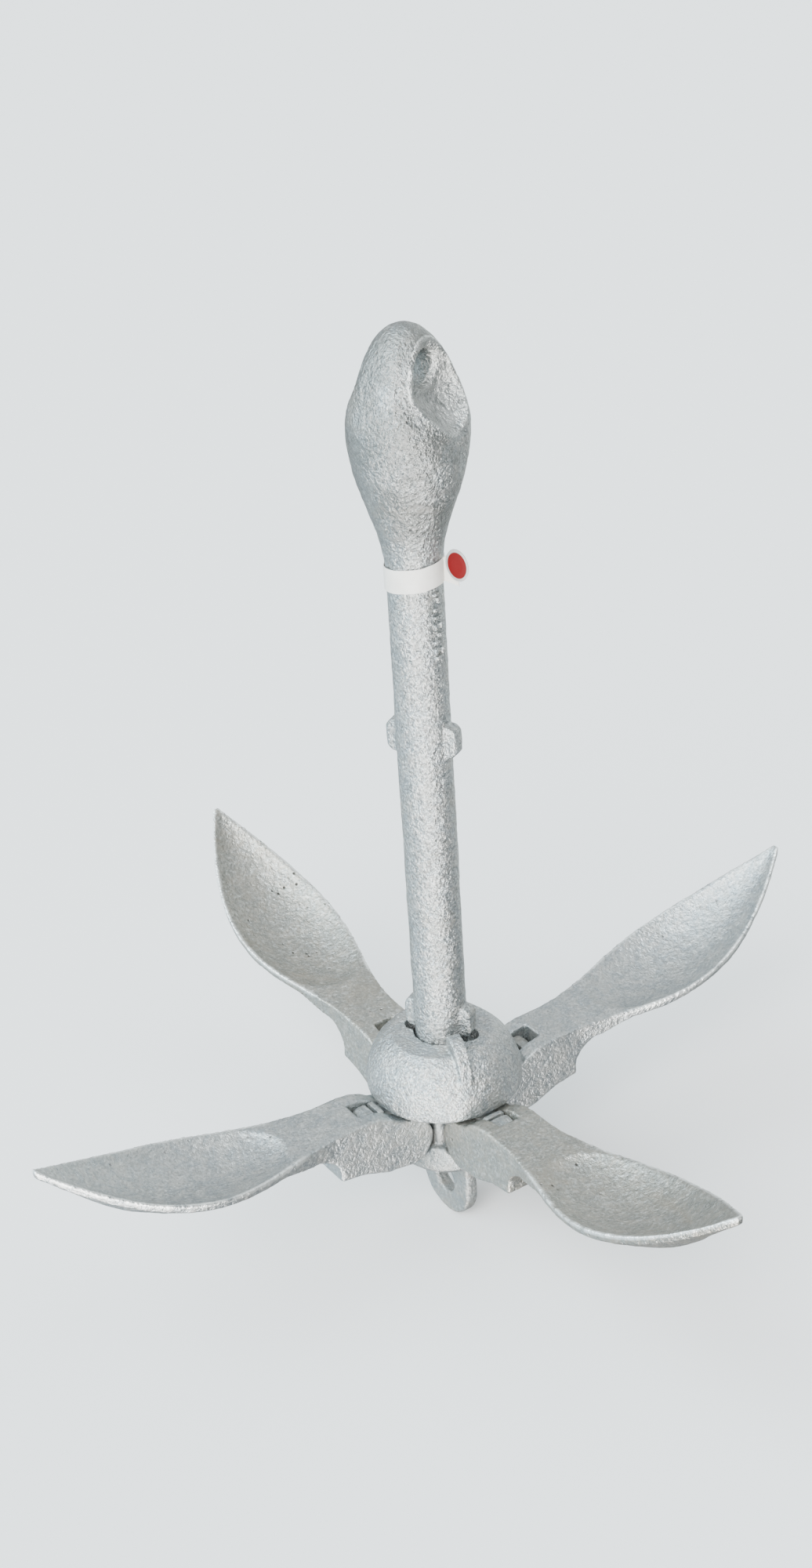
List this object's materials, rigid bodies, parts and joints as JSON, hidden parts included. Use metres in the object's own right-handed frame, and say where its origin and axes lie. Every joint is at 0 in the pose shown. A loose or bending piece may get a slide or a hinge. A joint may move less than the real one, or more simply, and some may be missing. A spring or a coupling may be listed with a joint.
{
  "type": "folding grapnel anchor",
  "caption": "Galvanised folding grapnel anchor: straight shank with an eyed head, spoon flukes hinged on a crown, sliding bell collar and trip eye.",
  "frame": {"origin": "on the shank's axis, level with the lowest point of the trip eye, at the middle of the bottom of the bounding box", "axes": "+Z along the shank from the trip eye to the head; the flukes point along +X, +Y, -X and -Y"},
  "size_m": [0.4934, 0.4886, 0.5245],
  "materials": {
    "zinc_bar": "hot-dip galvanised casting, orange-peel skin",
    "zinc_crown": "hot-dip galvanised casting, dull grey",
    "zinc_collar": "hot-dip galvanised casting, bright orange-peel skin",
    "zinc_fluke": "hot-dip galvanised casting, dull, with warm stains",
    "zinc_pin": "galvanised rod",
    "paper": "white coated paper, blank",
    "red_tag": "glossy red oval sticker with a silver rim"
  },
  "bodies": {
    "anchor": {"shank": "zinc_bar", "head": "zinc_bar", "crown": "zinc_crown", "trip_ring": "zinc_crown", "crown_rivet": "zinc_crown", "price_band": "paper", "oval_tag": "red_tag"},
    "collar": {"collar": "zinc_collar"},
    "right_fluke": {"fluke_right": "zinc_fluke", "pin_right": "zinc_pin"},
    "back_fluke": {"fluke_back": "zinc_fluke", "pin_back": "zinc_pin"},
    "left_fluke": {"fluke_left": "zinc_fluke", "pin_left": "zinc_pin"},
    "front_fluke": {"fluke_front": "zinc_fluke", "pin_front": "zinc_pin"}
  },
  "joints": [
    {"name": "collar_slide", "type": "slide", "parent": "anchor", "child": "collar", "axis": [0, 0, 1], "range_m": [0, 0.23]},
    {"name": "right_fluke_fold", "type": "hinge", "parent": "anchor", "child": "right_fluke", "pos_m": [0.049, 0, 0.0815], "axis": [0, -1, 0], "range_deg": [0, 76]},
    {"name": "back_fluke_fold", "type": "hinge", "parent": "anchor", "child": "back_fluke", "pos_m": [0, 0.049, 0.0815], "axis": [1, 0, 0], "range_deg": [0, 76]},
    {"name": "left_fluke_fold", "type": "hinge", "parent": "anchor", "child": "left_fluke", "pos_m": [-0.049, 0, 0.0815], "axis": [0, 1, 0], "range_deg": [0, 76]},
    {"name": "front_fluke_fold", "type": "hinge", "parent": "anchor", "child": "front_fluke", "pos_m": [0, -0.049, 0.0815], "axis": [-1, 0, 0], "range_deg": [0, 76]}
  ],
  "couplings": [
    {"joint": "right_fluke_fold", "follows": "collar_slide", "rad_per_m": 5.767},
    {"joint": "back_fluke_fold", "follows": "collar_slide", "rad_per_m": 5.767},
    {"joint": "left_fluke_fold", "follows": "collar_slide", "rad_per_m": 5.767},
    {"joint": "front_fluke_fold", "follows": "collar_slide", "rad_per_m": 5.767}
  ]
}
